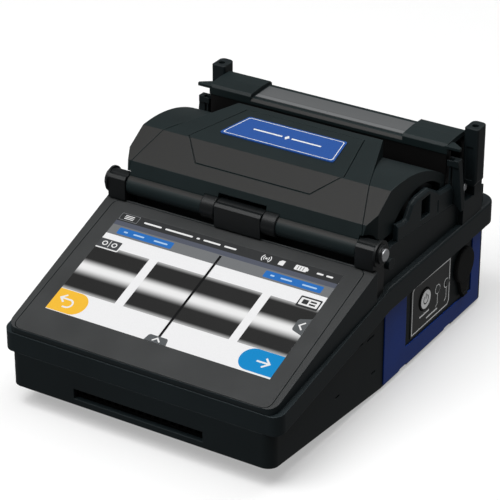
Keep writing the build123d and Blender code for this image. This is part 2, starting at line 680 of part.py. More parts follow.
electrode_tip = 1.2
for place_name, way in (("front", -1), ("rear", 1)):
    rod_near = fibre_depth + way * (electrode_tip + 4)
    holder_near = fibre_depth + way * 16.5
    holder_far = fibre_depth + way * 20.0
    with BuildPart() as electrode_holder:
        block((-6, 6), (holder_near, holder_far), (stage_top, fibre_height + 4))
        fillet(electrode_holder.edges().filter_by(Axis.Y).group_by(Axis.Z)[-1], 2.0)
        with Locations(place(0, (holder_near + holder_far) / 2, fibre_height)):
            Cylinder(1.0, 20, rotation=(90, 0, 0), mode=Mode.SUBTRACT)
    save(f"electrode_holder_{place_name}", electrode_holder.part)

    with BuildPart() as electrode:
        with Locations(place(0, (rod_near + holder_far) / 2, fibre_height)):
            Cylinder(1.0, abs(holder_far - rod_near), rotation=(90, 0, 0))
        with Locations(place(0, (rod_near + fibre_depth + way * electrode_tip) / 2, fibre_height)):
            Cone(1.0, 0.15, 4, rotation=(way * 90, 0, 0))
        with Locations(place(0, holder_far + way * 1.0, fibre_height)):
            Cylinder(2.0, 2.0, rotation=(90, 0, 0))
    save(f"electrode_{place_name}", electrode.part)

    lens_near, lens_far = 9.0, 19.0
    lens_axis = Vector(0, way * math.sqrt(0.5), -math.sqrt(0.5))
    lens_start = Vector(*place(0, fibre_depth, fibre_height)) + lens_axis * lens_near
    foot_depth = fibre_depth + way * 13.0
    with BuildPart() as objective:
        with BuildSketch(Plane(origin=lens_start, x_dir=(1, 0, 0), z_dir=lens_axis)) as lens_ring:
            Circle(3.4)
        extrude(amount=lens_far - lens_near)
        block((-2.4, 2.4), (foot_depth - 1.6, foot_depth + 1.6), (stage_top, 58))
        with BuildSketch(Plane(origin=lens_start, x_dir=(1, 0, 0), z_dir=lens_axis)) as lens_front:
            Circle(2.4)
        extrude(amount=1.2, mode=Mode.SUBTRACT)
    save(f"objective_{place_name}", objective.part)

clamp_pin_height = 67.4
clamp_pin_depth = fibre_depth + 9.0
clamp_top = clamp_pin_height + 2.0
carriage_top = 65.4
for side, sign in sides:
    with BuildPart() as feed_carriage:
        block((sign * 22, sign * 47), (fibre_depth - 12, fibre_depth + 12), (stage_top + gap, carriage_top))
        block((sign * 21, sign * 46), (fibre_depth - 1.2, fibre_depth + 1.2),
              (stage_top - 1.5, stage_top + gap + 0.5))
        side_prism([(fibre_depth - 1, carriage_top + 0.1), (fibre_depth, carriage_top - 1.0),
                    (fibre_depth + 1, carriage_top + 0.1)],
                   (sign * 15, sign * 60), Mode.SUBTRACT)
        for x in (24.0, 41.0):
            block((sign * x, sign * (x + 4)), (clamp_pin_depth - 2.4, clamp_pin_depth + 2.4),
                  (carriage_top - 1.4, clamp_top))
        rod_x(1.05, (sign * 20, sign * 50), clamp_pin_depth, clamp_pin_height, Mode.SUBTRACT)
    save(f"feed_carriage_{side}", feed_carriage.part)

    with BuildPart() as sheath_clamp:
        rod_x(2.0, (sign * 28.4, sign * 40.6), clamp_pin_depth, clamp_pin_height)
        block((sign * 28.4, sign * 40.6), (clamp_pin_depth - 4.5, clamp_pin_depth), (66.2, clamp_top))
        block((sign * 23.0, sign * 46.0), (clamp_pin_depth - 14.8, clamp_pin_depth - 3.4),
              (carriage_top + 0.5, clamp_top))
        block((sign * 30, sign * 39), (clamp_pin_depth - 18.0, clamp_pin_depth - 14.8), (67.2, clamp_top))
        rod_x(1.0, (sign * 24.0, sign * 45.0), clamp_pin_depth, clamp_pin_height)
    save(f"sheath_clamp_{side}", sheath_clamp.part)

motor_depth = fibre_depth - 17.0
with BuildPart() as feed_motors:
    for side, sign in sides:
        rod_x(4.2, (sign * 22, sign * 44), motor_depth, stage_top + 4.2)
        block((sign * 24, sign * 42), (motor_depth - 2.5, motor_depth + 2.5), (stage_top, stage_top + 2))
save("feed_motors", feed_motors.part)

# ---- sleeve heater -----------------------------------------------------------------------
trough_span = (157.5, 167.5)
pin_lugs = (-50, -18, 18, 50)
lug_half = 4.0
lid_lugs = (-34, 34)
lid_lug_half = 9.0

with BuildPart() as heater_housing:
    block((-heater_half, heater_half), (heater_front, heater_rear), (deck_height, heater_top))
    block((-70, 70), trough_span, (66, 90), Mode.SUBTRACT)
    for x in pin_lugs:
        rod_x(2.2, (x - lug_half, x + lug_half), lid_pin_depth, lid_pin_height)
        side_prism([(heater_rear - 0.5, 74), (heater_rear - 0.5, 84.5), (lid_pin_depth, 84.5),
                    (lid_pin_depth + 2.2, 83.6), (lid_pin_depth + 2.2, 81)], (x - lug_half, x + lug_half))
    rod_x(1.27, (-60, 60), lid_pin_depth, lid_pin_height, Mode.SUBTRACT)
save("heater_housing", heater_housing.part)

with BuildPart() as heater_plate:
    block((-38, 38), trough_span, (66, 80))
    side_prism([(trough_span[0] + 1.2, 81), (trough_span[0] + 3.6, 67.5), (trough_span[1] - 3.6, 67.5),
                (trough_span[1] - 1.2, 81)], (-40, 40), Mode.SUBTRACT)
save("heater_plate", heater_plate.part)

with BuildPart() as heater_hinge_pin:
    rod_x(1.2, (-54.2, 54.2), lid_pin_depth, lid_pin_height)
save("heater_hinge_pin", heater_hinge_pin.part)

lid_bottom = heater_top + gap
lid_rear = 171.5
cap_side = [(152.6, lid_bottom), (152.6, 88.8), (153.6, lid_top), (162, lid_top + 0.4), (170.2, lid_top),
            (lid_rear, 88.8), (lid_rear, lid_bottom), (169.8, lid_bottom), (169.8, 88.0), (154.6, 88.0),
            (154.6, lid_bottom)]
bar_side = [(152.6, lid_bottom), (152.6, 86.8), (153.8, 88.0), (170.2, 88.4), (lid_rear, 87.4),
            (lid_rear, lid_bottom)]
tab_outline = [(60.0, 152.6), (67.2, 152.6), (67.4, 154.0), (62.4, 157.6), (60.0, 157.6)]
window_span = (155.8, 168.2)
with BuildPart() as heater_lid:
    for side, sign in sides:
        side_prism(cap_side, (sign * cap_in, sign * lid_half))
        plan_prism([(sign * x, depth) for x, depth in tab_outline], (88.0, 89.4))
    side_prism(bar_side, (-cap_in, cap_in))
    block((-38.3, 38.3), window_span, (86.6, 95), Mode.SUBTRACT)
    for x in lid_lugs:
        side_prism([(171.0, lid_bottom), (171.0, 87.4), (lid_rear, 87.4), (lid_pin_depth + 2.2, 84.6),
                    (lid_pin_depth + 2.2, 83.8), (172.4, lid_bottom)], (x - lid_lug_half, x + lid_lug_half))
        rod_x(2.2, (x - lid_lug_half, x + lid_lug_half), lid_pin_depth, lid_pin_height)
    rod_x(1.2, (-60, 60), lid_pin_depth, lid_pin_height, Mode.SUBTRACT)
save("heater_lid", heater_lid.part)

with BuildPart() as heater_window:
    block((-38.3, 38.3), window_span, (86.6, 88.4))
save("heater_window", heater_window.part)

post_span = (153.2, 156.4)
post_view = [(62.2, 58.0), (62.2, 82.0), (66.8, 82.0), (69.2, 59.6), (68.6, 59.0), (65.6, 61.9), (65.0, 61.9),
             (65.0, 58.0)]
pin_spot = (163.6, 66.0)
for side, sign in sides:
    with BuildPart() as heater_post:
        front_prism([(sign * x, height) for x, height in post_view], post_span)
        block((sign * 61.4, sign * 66.8), (post_span[0] - 0.6, post_span[1]), (80.0, 83.2))
        block((sign * 63.0, sign * 64.0), (150, 160), (64.5, 80.2), Mode.SUBTRACT)
        side_prism([(post_span[0] - 1, 83.3), (155.2, 81.2), (155.2, 83.3)],
                   (sign * 60, sign * 64.4), Mode.SUBTRACT)
        side_prism(above_wall(150, 160), (sign * 60, sign * guard_out), Mode.SUBTRACT)
    save(f"heater_post_{side}", heater_post.part)

with BuildPart() as clamp_magnets:
    for side, sign in sides:
        rod_x(1.7, (sign * 62.0, sign * 65.4), *pin_spot)
        block((sign * 62.0, sign * 64.6), (pin_spot[0] - 1.2, pin_spot[0] + 1.2), (60.0, pin_spot[1]))
        side_prism(above_wall(158, wall_rear), (sign * 60, sign * 70), Mode.SUBTRACT)
save("clamp_magnets", clamp_magnets.part)

# ---- strap lugs --------------------------------------------------------------------------
# Each lug stands on the thick rear end of a housing wall, on a narrower foot
lug_span = (166.9, 175.9)
lug_waist = 65.2
foot_span = (168.4, 175.6)
foot_out = shoulder_out
under_cut = [(lug_out + 1, lug_waist - 1), (foot_out, lug_waist - 1), (foot_out, lug_waist),
             (lug_out, lug_waist + 2.2), (lug_out + 1, lug_waist + 2.2)]
for side, sign in sides:
    with BuildPart() as strap_lug:
        block((sign * lug_in, sign * lug_out), lug_span, (lug_waist, lug_top))
        fillet(strap_lug.edges().filter_by(Axis.Z).group_by(Axis.Y)[0], 1.0)
        fillet(strap_lug.edges().filter_by(Axis.Z).group_by(Axis.Y)[-1], 2.4)
        fillet(strap_lug.faces().sort_by(Axis.Z)[-1].edges(), 0.6)
        front_prism([(sign * x, height) for x, height in under_cut], (160, 180), Mode.SUBTRACT)
        block((sign * lug_in, sign * foot_out), foot_span, (58, lug_waist))
        side_prism(above_wall(160, 180), (sign * 60, sign * 70), Mode.SUBTRACT)
        rod_z(1.6, sign * 65.6, 170.6, (lug_top - 14, lug_top + 1), Mode.SUBTRACT)
        block((sign * 63.2, sign * 66.8), (lug_span[0] - 1, lug_span[0] + 0.5), (68, 84), Mode.SUBTRACT)
    save(f"strap_lug_{side}", strap_lug.part)
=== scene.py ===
import json
import math

import bmesh
import bpy
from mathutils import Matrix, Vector


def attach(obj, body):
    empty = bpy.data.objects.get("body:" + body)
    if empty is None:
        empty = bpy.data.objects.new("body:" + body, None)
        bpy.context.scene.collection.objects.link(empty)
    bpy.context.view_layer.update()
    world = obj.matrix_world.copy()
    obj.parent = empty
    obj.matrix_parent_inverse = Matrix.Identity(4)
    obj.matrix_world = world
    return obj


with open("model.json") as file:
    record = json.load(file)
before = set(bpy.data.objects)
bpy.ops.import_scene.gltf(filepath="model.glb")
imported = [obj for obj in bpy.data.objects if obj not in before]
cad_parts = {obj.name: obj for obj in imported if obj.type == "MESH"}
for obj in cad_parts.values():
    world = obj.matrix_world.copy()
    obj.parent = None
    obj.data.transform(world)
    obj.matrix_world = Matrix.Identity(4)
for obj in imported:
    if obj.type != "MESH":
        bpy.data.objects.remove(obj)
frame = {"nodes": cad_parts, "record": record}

MM = 0.001
DISPLAY_GLOW = 0.60
PATCH_LIFT = 0.008
PATCH_STEP = 0.03
nodes = frame["nodes"]
scene = bpy.context.scene
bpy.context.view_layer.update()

# ---- case coordinates --------------------------------------------------------------------
FRONT = -0.096
FOOT_DROP = 0.0015


def place(x, depth, height):
    """Case coordinates in millimetres (depth from the front, height from the case's underside) to metres."""
    return Vector((x * MM, FRONT + depth * MM, FOOT_DROP + height * MM))


# ---- node helpers ------------------------------------------------------------------------
class Build:
    """A material's node tree, with short calls for the nodes used below."""

    def __init__(self, name):
        self.material = bpy.data.materials.new(name)
        self.material.use_nodes = True
        self.tree = self.material.node_tree
        self.shader = self.tree.nodes["Principled BSDF"]

    def add(self, kind, **values):
        node = self.tree.nodes.new(kind)
        for key, value in values.items():
            setattr(node, key, value)
        return node

    def link(self, start, end):
        self.tree.links.new(start, end)

    def position(self):
        return self.add("ShaderNodeTexCoord").outputs["Object"]

    def noise(self, scale, detail=3.0, stretch=None, roughness=0.55):
        node = self.add("ShaderNodeTexNoise")
        node.inputs["Scale"].default_value = scale
        node.inputs["Detail"].default_value = detail
        node.inputs["Roughness"].default_value = roughness
        source = self.position()
        if stretch:
            scaled = self.add("ShaderNodeVectorMath", operation="MULTIPLY")
            scaled.inputs[1].default_value = stretch
            self.link(source, scaled.inputs[0])
            source = scaled.outputs[0]
        self.link(source, node.inputs["Vector"])
        return node.outputs["Fac"]

    def ramp(self, source, stops, smooth=False):
        node = self.add("ShaderNodeValToRGB")
        ramp = node.color_ramp
        ramp.interpolation = "EASE" if smooth else "LINEAR"
        while len(ramp.elements) < len(stops):
            ramp.elements.new(0.5)
        for element, (at, color) in zip(ramp.elements, stops):
            element.position = at
            element.color = (*color, 1.0)
        self.link(source, node.inputs["Fac"])
        return node.outputs["Color"]

    def facing(self, direction, tight=0.97):
        """A mask that is 1 on the faces that look one way, in the frame at rest."""
        lean = self.add("ShaderNodeVectorMath", operation="DOT_PRODUCT")
        lean.inputs[1].default_value = direction
        self.link(self.add("ShaderNodeTexCoord").outputs["Normal"], lean.inputs[0])
        step = self.add("ShaderNodeMath", operation="GREATER_THAN")
        step.inputs[1].default_value = tight
        self.link(lean.outputs["Value"], step.inputs[0])
        return step.outputs[0]

    def along(self, start, end):
        """A factor that runs from 0 at one point of the frame to 1 at another."""
        offset = self.add("ShaderNodeVectorMath", operation="SUBTRACT")
        offset.inputs[1].default_value = start
        self.link(self.position(), offset.inputs[0])
        reach = self.add("ShaderNodeVectorMath", operation="DOT_PRODUCT")
        reach.inputs[1].default_value = (end - start) / (end - start).length_squared
        self.link(offset.outputs[0], reach.inputs[0])
        return reach.outputs["Value"]

    def span(self, source, low, high):
        node = self.add("ShaderNodeMapRange")
        node.inputs["To Min"].default_value = low
        node.inputs["To Max"].default_value = high
        self.link(source, node.inputs["Value"])
        return node.outputs["Result"]

    def mix(self, factor, first, second):
        node = self.add("ShaderNodeMix", data_type="RGBA")
        for source, socket in ((factor, node.inputs[0]), (first, node.inputs[6]), (second, node.inputs[7])):
            if isinstance(source, tuple):
                socket.default_value = (*source, 1.0)
            elif isinstance(source, float):
                socket.default_value = source
            else:
                self.link(source, socket)
        return node.outputs[2]

    def edges(self, radius, gain):
        """A mask that is 1 on sharp edges, where a rounded normal leans from the true one, and the normal."""
        bevel = self.add("ShaderNodeBevel", samples=6)
        bevel.inputs["Radius"].default_value = radius
        flat = self.add("ShaderNodeNewGeometry")
        lean = self.add("ShaderNodeVectorMath", operation="DOT_PRODUCT")
        self.link(bevel.outputs["Normal"], lean.inputs[0])
        self.link(flat.outputs["Normal"], lean.inputs[1])
        mask = self.add("ShaderNodeMapRange")
        mask.inputs["From Min"].default_value = 1.0
        mask.inputs["From Max"].default_value = 1.0 - gain
        self.link(lean.outputs["Value"], mask.inputs["Value"])
        return mask.outputs["Result"], bevel.outputs["Normal"]

    def bump(self, height, strength, distance, normal=None):
        node = self.add("ShaderNodeBump")
        node.inputs["Strength"].default_value = strength
        node.inputs["Distance"].default_value = distance
        self.link(height, node.inputs["Height"])
        if normal is not None:
            self.link(normal, node.inputs["Normal"])
        self.link(node.outputs["Normal"], self.shader.inputs["Normal"])


def shade(color, factor):
    return tuple(min(1.0, channel * factor) for channel in color)


def plastic(name, color, rough=0.48, specular=0.2, grain=2600.0, depth=0.00006, highlight_gain=1.9, edge=0.0005,
            other=None, facing=None):
    """Spark-textured moulded plastic: fine grain, faint mottling and paler edges, which are a painted edge
    highlight.
    Faces that look along facing take the other colour."""
    make = Build(name)
    mottle = make.noise(38.0, 5.0)
    body = make.ramp(mottle, [(0.3, shade(color, 0.86)), (0.7, shade(color, 1.14))])
    if other:
        turned = make.ramp(mottle, [(0.3, shade(other, 0.93)), (0.7, shade(other, 1.07))])
        body = make.mix(make.facing(facing), body, turned)
    # Painted highlight: sharp edges are made paler than the faces by a factor.
    edge_highlight_mask, normal = make.edges(edge, 0.30)
    make.link(make.mix(edge_highlight_mask, body, shade(color, highlight_gain)), make.shader.inputs["Base Color"])
    fine = make.noise(grain, 2.0)
    make.link(make.span(mottle, rough - 0.06, rough + 0.06), make.shader.inputs["Roughness"])
    make.shader.inputs["Specular IOR Level"].default_value = specular
    make.bump(fine, 0.22, depth, normal)
    return make.material


def metal(name, color, rough=0.28, stretch=(1.0, 1.0, 1.0), scale=900.0, edge=0.0003):
    """Ground or turned metal with streaks along the direction that stretch leaves short."""
    make = Build(name)
    streaks = make.noise(scale, 3.0, stretch)
    ground = make.ramp(streaks, [(0.3, shade(color, 0.82)), (0.7, color)])
    make.link(ground, make.shader.inputs["Base Color"])
    make.link(make.span(streaks, rough - 0.07, rough + 0.09), make.shader.inputs["Roughness"])
    make.shader.inputs["Metallic"].default_value = 1.0
    edge_highlight_mask, normal = make.edges(edge, 0.3)
    make.bump(streaks, 0.12, 0.00004, normal)
    return make.material


def film(name, color, rough=0.22, glow=0.0, specular=0.4):
    """A printed film: even ink with a faint print grain under a smooth surface."""
    make = Build(name)
    grain = make.noise(1400.0, 2.0)
    ink = make.ramp(grain, [(0.3, shade(color, 0.97)), (0.7, shade(color, 1.03))])
    make.link(ink, make.shader.inputs["Base Color"])
    make.link(make.span(make.noise(60.0), rough - 0.04, rough + 0.05), make.shader.inputs["Roughness"])
    make.shader.inputs["Specular IOR Level"].default_value = specular
    # A glow makes the print brighter than the light on it would: painted light.
    if glow:
        make.link(ink, make.shader.inputs["Emission Color"])
        make.shader.inputs["Emission Strength"].default_value = glow
    make.bump(grain, 0.05, 0.00001)
    return make.material


def tone(red, green, blue):
    """A display colour on the usual 0 to 255 scale as linear light."""
    return tuple((channel / 255.0) ** 2.2 for channel in (red, green, blue))


def lit(name, color):
    """A patch of the lit display: mostly its own light, under a smooth surface."""
    make = Build(name)
    grain = make.noise(2200.0, 1.0)
    ink = make.ramp(grain, [(0.3, shade(color, 0.98)), (0.7, shade(color, 1.02))])
    finish_display(make, ink)
    return make.material


def finish_display(make, ink):
    make.link(make.mix(0.75, ink, (0.0, 0.0, 0.0)), make.shader.inputs["Base Color"])
    make.link(ink, make.shader.inputs["Emission Color"])
    make.shader.inputs["Emission Strength"].default_value = DISPLAY_GLOW
    make.shader.inputs["Specular IOR Level"].default_value = 0.25
    make.link(make.span(make.noise(40.0), 0.16, 0.26), make.shader.inputs["Roughness"])


# ---- colours -----------------------------------------------------------------------------
CHARCOAL = (0.0060, 0.0112, 0.0120)
CASE = (0.0056, 0.0092, 0.0106)
RIM = (0.0078, 0.0125, 0.0145)
# Painted light: a warmer, paler colour that the hood's front facets take for the warm light falling on them.
FACET_WARM_LIGHT = (0.0125, 0.0126, 0.0120)
BEZEL = (0.0300, 0.0315, 0.0320)
BLUE_PAINT = (0.009, 0.042, 0.260)
PLATE_BLUE = (0.012, 0.062, 0.250)
SCREEN_TILT = math.radians(18.3)
SCREEN_UP = Vector((0.0, math.cos(SCREEN_TILT), math.sin(SCREEN_TILT)))
SCREEN_NORMAL = Vector((0.0, -math.sin(SCREEN_TILT), math.cos(SCREEN_TILT)))
SCREEN_FOOT = place(0.0, 13.9, 41.4)
FACET_NORMAL = (0.0, -0.516, 0.857)

case_plastic = plastic("case_plastic", CASE, rough=0.5)
# Painted highlight: the rim and the guard get the strongest pale edges, standing for the light lines along
# their top edges.
rim_plastic = plastic("rim_plastic", RIM, rough=0.46, highlight_gain=2.6)
guard_plastic = plastic("guard_plastic", RIM, rough=0.42, highlight_gain=3.2, edge=0.0009)
# Painted shade: the heater housing is made darker to stand for the shade in the recess under the heater lid.
heater_painted_shade = plastic("heater_painted_shade", (0.0030, 0.0028, 0.0028), rough=0.5, highlight_gain=2.2)
deck_plastic = plastic("deck_plastic", CASE, rough=0.45)
# Painted light: the faces that look along the facet normal take the warm, paler facet colour.
hood_plastic = plastic("hood_plastic", CHARCOAL, rough=0.5, other=FACET_WARM_LIGHT, facing=FACET_NORMAL)
bezel_plastic = plastic("bezel_plastic", BEZEL, rough=0.42, grain=3600.0, depth=0.00003, highlight_gain=1.3)
monitor_plastic = plastic("monitor_plastic", RIM, rough=0.42, grain=3600.0, depth=0.00003, highlight_gain=1.5,
                          other=BEZEL, facing=SCREEN_NORMAL)
black_plastic = plastic("black_plastic", (0.004, 0.0045, 0.005), rough=0.35, grain=3200.0)
# Painted shade: the vent is near black with almost no sheen, standing for the shade inside it.
vent_painted_shade = plastic("vent_painted_shade", (0.0008, 0.0009, 0.001), rough=0.6, specular=0.05, highlight_gain=1.1)
rubber = plastic("soft_rubber", (0.007, 0.0075, 0.0075), rough=0.72, specular=0.2, grain=1800.0, highlight_gain=1.4)
painted = plastic("satin_black_paint", (0.006, 0.007, 0.0075), rough=0.36, grain=3000.0, highlight_gain=2.4)
blue_paint = plastic("blue_paint", BLUE_PAINT, rough=0.34, specular=0.14, grain=900.0, depth=0.00002,
                     highlight_gain=1.25)
steel = metal("ground_steel", (0.62, 0.63, 0.65), 0.30, (0.15, 3.0, 3.0))
anodised = metal("anodised_aluminium", (0.42, 0.43, 0.45), 0.38, (0.4, 3.0, 3.0))
ceramic = plastic("ground_ceramic", (0.72, 0.72, 0.70), rough=0.4, grain=1500.0, highlight_gain=1.05)
board = plastic("solder_mask", (0.01, 0.07, 0.03), rough=0.3, grain=500.0, highlight_gain=1.2)
lens_clear = film("lens_clear", (0.012, 0.016, 0.017), 0.12)
white_ink = film("white_ink", (0.62, 0.63, 0.63), 0.3)
# Painted light: the white label print glows faintly, so that it stays bright on the shaded side of the case.
glowing_label_ink = film("glowing_label_ink", (0.80, 0.81, 0.81), 0.3, glow=0.12)
dark_ink = film("dark_ink", (0.006, 0.006, 0.006), 0.3)


def window_glass():
    """The heater's smoked window, with a paler strip along its front edge."""
    make = Build("window_smoke")
    depth = make.along(place(0, 155.8, 88.4), place(0, 168.2, 88.4))
    bands = make.ramp(depth, [(0.0, (0.125, 0.129, 0.132)), (0.20, (0.125, 0.129, 0.132)),
                              (0.23, (0.045, 0.047, 0.048)), (0.26, (0.088, 0.092, 0.094)),
                              (1.0, (0.078, 0.082, 0.084))])
    haze = make.noise(220.0, 3.0)
    smoke = make.mix(make.span(haze, 0.0, 0.16), bands, (0.06, 0.06, 0.06))
    make.link(smoke, make.shader.inputs["Base Color"])
    make.link(make.span(haze, 0.24, 0.36), make.shader.inputs["Roughness"])
    make.shader.inputs["Specular IOR Level"].default_value = 0.4
    make.bump(haze, 0.04, 0.00002)
    return make.material


FIBRE_VIEW = (13.0, 41.2)


def fibre_image():
    """The camera's picture of a bare fibre: a dark body with a soft bright core line and paler rims."""
    make = Build("fibre_image")
    low, high = (SCREEN_FOOT + SCREEN_UP * edge * MM for edge in FIBRE_VIEW)
    body, core, rim = tone(45, 45, 45), tone(240, 240, 240), tone(170, 170, 170)
    stops = [(0.0, rim), (0.08, body), (0.30, body), (0.49, core), (0.53, core), (0.68, body), (0.92, body),
             (1.0, rim)]
    finish_display(make, make.ramp(make.along(low, high), stops, smooth=True))
    return make.material


BY_SLOT = {
    "case_plastic": case_plastic, "rim_plastic": rim_plastic, "hood_plastic": hood_plastic,
    "blue_paint": blue_paint, "label_film": film("label_film", (0.008, 0.009, 0.0095), 0.3),
    "name_film": film("name_film", PLATE_BLUE, 0.25), "soft_rubber": rubber, "bare_steel": steel,
    "dark_metal": painted, "anodised": anodised, "cover_glass": bezel_plastic,
    "display": lit("display_white", tone(243, 243, 244)), "clear_lens": lens_clear,
    "smoke_window": window_glass(), "board_green": board, "groove_ceramic": ceramic,
    "button_plastic": black_plastic,
}
BY_NODE = {
    "monitor_housing": monitor_plastic, "deck_housing": deck_plastic, "hood_inlay": hood_plastic,
    "front_vent": vent_painted_shade, "side_guard_left": guard_plastic, "side_guard_right": guard_plastic,
    "heater_housing": heater_painted_shade,
}
for entry in frame["record"]["subparts"]:
    node = nodes[entry["node"]]
    node.data.materials.clear()
    node.data.materials.append(BY_NODE.get(entry["node"], BY_SLOT[entry["material_slot"]]))

# ---- printed and lit graphics ------------------------------------------------------------
class Sheet:
    """A surface that thin printed or lit patches lie on. Its own coordinates are in millimetres."""

    def __init__(self, origin, across, up, body, slot):
        self.origin = origin
        self.across = across
        self.up = up
        self.normal = across.cross(up)
        self.body = body
        self.slot = slot

    def point(self, spot, lift):
        return self.origin + (self.across * spot[0] + self.up * spot[1] + self.normal * lift) * MM

    def make(self, name, loops, faces, layer, material):
        """One closed patch from its outline loops; faces lists the corner indices of its flat side."""
        low, high = PATCH_LIFT, PATCH_LIFT + PATCH_STEP * layer
        flat = [spot for loop in loops for spot in loop]
        mesh = bmesh.new()
        under = [mesh.verts.new(self.point(spot, low)) for spot in flat]
        over = [mesh.verts.new(self.point(spot, high)) for spot in flat]
        for corners in faces:
            mesh.faces.new([over[index] for index in corners])
            mesh.faces.new([under[index] for index in reversed(corners)])
        start = 0
        for loop in loops:
            count = len(loop)
            for step in range(count):
                a, b = start + step, start + (step + 1) % count
                mesh.faces.new([under[a], under[b], over[b], over[a]])
            start += count
        bmesh.ops.recalc_face_normals(mesh, faces=mesh.faces)
        data = bpy.data.meshes.new(name)
        mesh.to_mesh(data)
        mesh.free()
        data.materials.append(material)
        piece = bpy.data.objects.new(name, data)
        scene.collection.objects.link(piece)
        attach(piece, self.body)
        return piece

    def patch(self, name, outline, material, layer=1):
        return self.make(name, [outline], [list(range(len(outline)))], layer, material)

    def band(self, name, outer, inner, material, layer=1):
        """A closed line between two loops with as many points each."""
        count = len(outer)
        faces = [[i, (i + 1) % count, count + (i + 1) % count, count + i] for i in range(count)]
        return self.make(name, [outer, inner], faces, layer, material)


def arc(middle, radius, start, end, steps=16):
    angles = [math.radians(start + (end - start) * step / steps) for step in range(steps + 1)]
    return [(middle[0] + radius * math.cos(angle), middle[1] + radius * math.sin(angle)) for angle in angles]


def circle(middle, radius, steps=32):
    return arc(middle, radius, 0, 360, steps)[:-1]


def box(left, low, right, high):
    return [(left, low), (right, low), (right, high), (left, high)]


def rounded(corners, radii, steps=6):
    """An outline with its corners rounded, each by its own radius."""
    outline = []
    count = len(corners)
    for index, corner in enumerate(corners):
        radius = radii[index] if isinstance(radii, (list, tuple)) else radii
        here = Vector(corner)
        back = (Vector(corners[index - 1]) - here).normalized()
        on = (Vector(corners[(index + 1) % count]) - here).normalized()
        if radius <= 0:
            outline.append(tuple(here))
            continue
        half_angle = back.angle(on) / 2
        reach = radius / math.tan(half_angle)
        middle = here + (back + on).normalized() * (radius / math.sin(half_angle))
        first = here + back * reach - middle
        last = here + on * reach - middle
        for step in range(steps + 1):
            outline.append(tuple(middle + first.slerp(last, step / steps) * radius))
    return outline


def stroke(points, width):
    """The outline of an open line with a width and mitred bends."""
    spots = [Vector(point) for point in points]
    left, right = [], []
    for index, spot in enumerate(spots):
        before = (spot - spots[index - 1]).normalized() if index else None
        after = (spots[index + 1] - spot).normalized() if index + 1 < len(spots) else None
        way = ((before or after) + (after or before)).normalized()
        side = Vector((-way.y, way.x))
        along = before or after
        reach = width / 2 / max(0.35, side.dot(Vector((-along.y, along.x))))
        left.append(tuple(spot + side * reach))
        right.append(tuple(spot - side * reach))
    return left + right[::-1]


LCD_HALF = 55.35
LCD_TOP = 62.3
lcd = Sheet(SCREEN_FOOT, Vector((1, 0, 0)), SCREEN_UP, "root", "display")
picture = fibre_image()
lit_white = lit("lit_white", tone(240, 240, 240))
lit_black = lit("lit_black", tone(22, 23, 24))
lit_dark = lit("lit_dark", tone(56, 57, 58))
lit_key = lit("lit_key", tone(74, 76, 78))
lit_slate = lit("lit_slate", tone(88, 92, 104))
lit_grey = lit("lit_grey", tone(118, 120, 122))
lit_tab = lit("lit_tab", tone(92, 95, 97))
lit_tag = lit("lit_tag", tone(46, 112, 190))
lit_pale = lit("lit_pale", tone(176, 208, 240))
lit_yellow = lit("lit_yellow", tone(250, 192, 62))
lit_cyan = lit("lit_cyan", tone(22, 138, 204))

for part_name, left, right in (("left", -LCD_HALF, -28.3), ("middle", -24.0, 28.2),
                               ("right", 32.2, LCD_HALF)):
    lcd.patch("fibre_view_" + part_name, box(left, FIBRE_VIEW[0], right, FIBRE_VIEW[1]), picture)
lcd.patch("status_bar", box(-LCD_HALF, 57.0, LCD_HALF, LCD_TOP), lit_dark)
lcd.patch("header_strip", box(-LCD_HALF, 54.4, LCD_HALF, 57.0), lit_slate)
lcd.patch("header_bar", box(-LCD_HALF, 48.6, LCD_HALF, 54.4), lit_grey)
lcd.patch("centre_line", box(-0.5, 2.9, 0.7, 53.9), lit_black, 2)

lcd.patch("menu_key", rounded(box(-55.0, 57.7, -45.5, 61.9), 0.5), lit_grey, 2)
lcd.patch("menu_key_face", rounded(box(-54.7, 58.0, -45.8, 61.6), 0.3), lit_dark, 3)
for row in range(3):
    lcd.patch(f"menu_bar_{row}", box(-52.6, 58.7 + 0.9 * row, -48.0, 59.1 + 0.9 * row), lit_white, 4)
TITLE_MARKS = ((-42.5, 9.0), (-31.5, 14.0), (-15.5, 1.6), (-12.0, 8.5), (-1.5, 6.0),
               (44.0, 3.2), (48.6, 3.2))
for index, (start, length) in enumerate(TITLE_MARKS):
    lcd.patch(f"title_mark_{index}", rounded(box(start, 59.1, start + length, 60.0), 0.4), lit_white, 2)
SIGNAL_SPOT = (19.4, 59.6)
for index, (radius, start) in enumerate(((1.2, -50), (2.2, -50), (1.2, 130), (2.2, 130))):
    wave = arc(SIGNAL_SPOT, radius, start, start + 100, 8)
    lcd.patch(f"signal_wave_{index}", stroke(wave, 0.4), lit_white, 2)
lcd.patch("signal_dot", circle(SIGNAL_SPOT, 0.5, 12), lit_white, 2)
lcd.patch("card_mark", [(25.6, 58.2), (28.2, 58.2), (28.2, 61.0), (26.5, 61.0), (25.6, 60.1)], lit_white, 2)
lcd.patch("battery_mark", rounded(box(33.4, 58.2, 39.2, 61.0), 0.4), lit_white, 2)
lcd.patch("battery_nub", box(39.2, 59.0, 39.8, 60.2), lit_white, 2)
for index in range(3):
    lcd.patch(f"battery_gap_{index}", box(34.7 + 1.3 * index, 58.6, 35.0 + 1.3 * index, 60.6), lit_dark, 3)

for part_name, left, right in (("left", -51.0, -23.0), ("right", 23.0, 51.0)):
    lcd.patch("fibre_tag_" + part_name, rounded(box(left, 49.6, right, 53.5), 0.6), lit_tag, 2)
    for index, (start, length) in enumerate(((3.0, 2.0), (8.0, 5.5), (18.5, 7.0))):
        mark = rounded(box(left + start, 51.1, left + start + length, 51.9), 0.35)
        lcd.patch(f"tag_mark_{part_name}_{index}", mark, lit_pale, 3)

